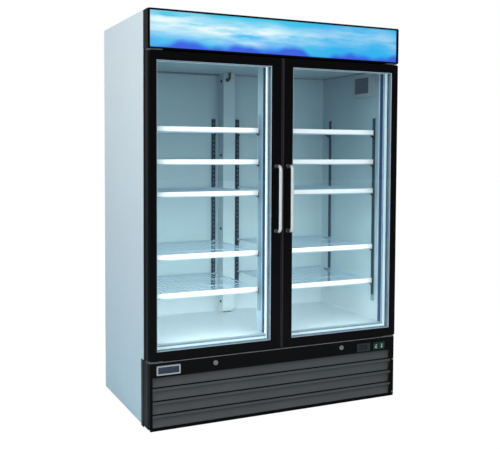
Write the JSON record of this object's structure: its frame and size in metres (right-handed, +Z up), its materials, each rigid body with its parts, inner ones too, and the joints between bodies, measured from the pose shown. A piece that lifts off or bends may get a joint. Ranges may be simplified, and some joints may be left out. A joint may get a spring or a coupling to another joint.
{
  "type": "refrigerated merchandiser",
  "caption": "Upright glass-door display cooler with a lit sign box, wire shelves, swinging doors and a louvred machine space.",
  "frame": {"origin": "centre of the whole box in plan, on the floor under the feet", "axes": "+Z up, +X to the right seen from the front, +Y from the doors to the back; the doors face -Y"},
  "size_m": [1.4, 0.863, 2],
  "materials": {
    "white_steel": "satin",
    "galvanised": "satin",
    "foam": "matte",
    "liner_white": "satin",
    "black_trim": "satin",
    "black_metal": "satin",
    "black_aluminium": "satin",
    "sign_acrylic": "gloss",
    "lamp": "diffuse",
    "chassis": "satin",
    "grille": "satin",
    "badge": "satin",
    "display": "gloss",
    "switch_green": "gloss",
    "chrome": "polished",
    "standard_steel": "satin",
    "shelf_white": "gloss",
    "duct_white": "satin",
    "coil": "satin",
    "fan_frame": "matte",
    "compressor_black": "gloss",
    "copper": "satin",
    "grey_steel": "satin",
    "rubber": "matte",
    "zinc": "satin",
    "vent_grey": "satin",
    "glazing": "clear",
    "spacer": "satin",
    "handle_tube": "satin"
  },
  "bodies": {
    "cabinet": {"outer_wrapper": "white_steel", "back_panel": "galvanised", "foam_insulation": "foam", "inner_liner": "liner_white", "face_frame": "black_trim", "centre_mullion": "black_trim", "header_frame": "black_metal", "sign_panel": "sign_acrylic", "light_tubes": "lamp", "base_frame": "chassis", "lower_fascia": "black_metal", "front_grille": "grille", "badge_plate": "badge", "temperature_display": "display", "switch_housings": "black_trim", "lock_barrels": "chrome", "shelf_standards": "standard_steel", "shelf_clips": "standard_steel", "rear_duct": "duct_white", "ceiling_cover": "duct_white", "evaporator_coil": "coil", "evaporator_fan_mount": "grey_steel", "compressor": "compressor_black", "condenser_coil": "coil", "condenser_fan_mount": "fan_frame", "drain_pan": "fan_frame", "electrical_box": "grey_steel", "refrigerant_pipes": "copper", "cord_inlet": "black_trim", "hinge_brackets": "zinc", "levelling_feet": "chassis", "panel_screws": "zinc", "wall_vent_cover": "vent_grey", "drain_hose": "rubber"},
    "left_door": {"left_door_frame": "black_aluminium", "left_door_glass": "glazing", "left_glass_spacer": "spacer", "left_door_gasket": "rubber", "left_door_handle": "handle_tube"},
    "right_door": {"right_door_frame": "black_aluminium", "right_door_glass": "glazing", "right_glass_spacer": "spacer", "right_door_gasket": "rubber", "right_door_handle": "handle_tube"},
    "evaporator_fan": {"evaporator_fan_rotor": "fan_frame"},
    "condenser_fan": {"condenser_fan_rotor": "fan_frame"},
    "left_lock": {"left_lock_plug": "chrome"},
    "left_switch": {"left_rocker": "switch_green"},
    "right_lock": {"right_lock_plug": "chrome"},
    "right_switch": {"right_rocker": "switch_green"},
    "left_shelf_1_body": {"left_shelf_1": "shelf_white"},
    "left_shelf_2_body": {"left_shelf_2": "shelf_white"},
    "left_shelf_3_body": {"left_shelf_3": "shelf_white"},
    "left_shelf_4_body": {"left_shelf_4": "shelf_white"},
    "left_shelf_5_body": {"left_shelf_5": "shelf_white"},
    "right_shelf_1_body": {"right_shelf_1": "shelf_white"},
    "right_shelf_2_body": {"right_shelf_2": "shelf_white"},
    "right_shelf_3_body": {"right_shelf_3": "shelf_white"},
    "right_shelf_4_body": {"right_shelf_4": "shelf_white"},
    "right_shelf_5_body": {"right_shelf_5": "shelf_white"}
  },
  "joints": [
    {"name": "left_door_hinge", "type": "hinge", "parent": "cabinet", "child": "left_door", "pos_m": [-0.685, -0.3485, 1.0715], "axis": [0, 0, -1], "range_deg": [0, 110], "stiffness_Nm_per_rad": 3.5, "springref_deg": -11.46},
    {"name": "right_door_hinge", "type": "hinge", "parent": "cabinet", "child": "right_door", "pos_m": [0.685, -0.3485, 1.0715], "axis": [0, 0, 1], "range_deg": [0, 110], "stiffness_Nm_per_rad": 3.5, "springref_deg": -11.46},
    {"name": "left_lock_turn", "type": "hinge", "parent": "cabinet", "child": "left_lock", "pos_m": [-0.36, -0.3635, 0.3], "axis": [0, 1, 0], "range_deg": [0, 90]},
    {"name": "right_lock_turn", "type": "hinge", "parent": "cabinet", "child": "right_lock", "pos_m": [0.36, -0.3635, 0.3], "axis": [0, -1, 0], "range_deg": [0, 90]},
    {"name": "left_switch_rock", "type": "hinge", "parent": "cabinet", "child": "left_switch", "pos_m": [0.579, -0.3685, 0.287], "axis": [-1, 0, 0], "range_deg": [0, 16]},
    {"name": "right_switch_rock", "type": "hinge", "parent": "cabinet", "child": "right_switch", "pos_m": [0.616, -0.3685, 0.287], "axis": [-1, 0, 0], "range_deg": [0, 16]},
    {"name": "evaporator_fan_spin", "type": "hinge", "parent": "cabinet", "child": "evaporator_fan", "pos_m": [0, -0.0095, 1.866], "axis": [0, 1, 0], "continuous": true},
    {"name": "condenser_fan_spin", "type": "hinge", "parent": "cabinet", "child": "condenser_fan", "pos_m": [-0.3, -0.1935, 0.155], "axis": [0, 1, 0], "continuous": true},
    {"name": "left_shelf_1_lift", "type": "slide", "parent": "cabinet", "child": "left_shelf_1_body", "axis": [0, 0, 1], "range_m": [0, 0.03]},
    {"name": "left_shelf_2_lift", "type": "slide", "parent": "cabinet", "child": "left_shelf_2_body", "axis": [0, 0, 1], "range_m": [0, 0.03]},
    {"name": "left_shelf_3_lift", "type": "slide", "parent": "cabinet", "child": "left_shelf_3_body", "axis": [0, 0, 1], "range_m": [0, 0.03]},
    {"name": "left_shelf_4_lift", "type": "slide", "parent": "cabinet", "child": "left_shelf_4_body", "axis": [0, 0, 1], "range_m": [0, 0.03]},
    {"name": "left_shelf_5_lift", "type": "slide", "parent": "cabinet", "child": "left_shelf_5_body", "axis": [0, 0, 1], "range_m": [0, 0.03]},
    {"name": "right_shelf_1_lift", "type": "slide", "parent": "cabinet", "child": "right_shelf_1_body", "axis": [0, 0, 1], "range_m": [0, 0.03]},
    {"name": "right_shelf_2_lift", "type": "slide", "parent": "cabinet", "child": "right_shelf_2_body", "axis": [0, 0, 1], "range_m": [0, 0.03]},
    {"name": "right_shelf_3_lift", "type": "slide", "parent": "cabinet", "child": "right_shelf_3_body", "axis": [0, 0, 1], "range_m": [0, 0.03]},
    {"name": "right_shelf_4_lift", "type": "slide", "parent": "cabinet", "child": "right_shelf_4_body", "axis": [0, 0, 1], "range_m": [0, 0.03]},
    {"name": "right_shelf_5_lift", "type": "slide", "parent": "cabinet", "child": "right_shelf_5_body", "axis": [0, 0, 1], "range_m": [0, 0.03]}
  ]
}
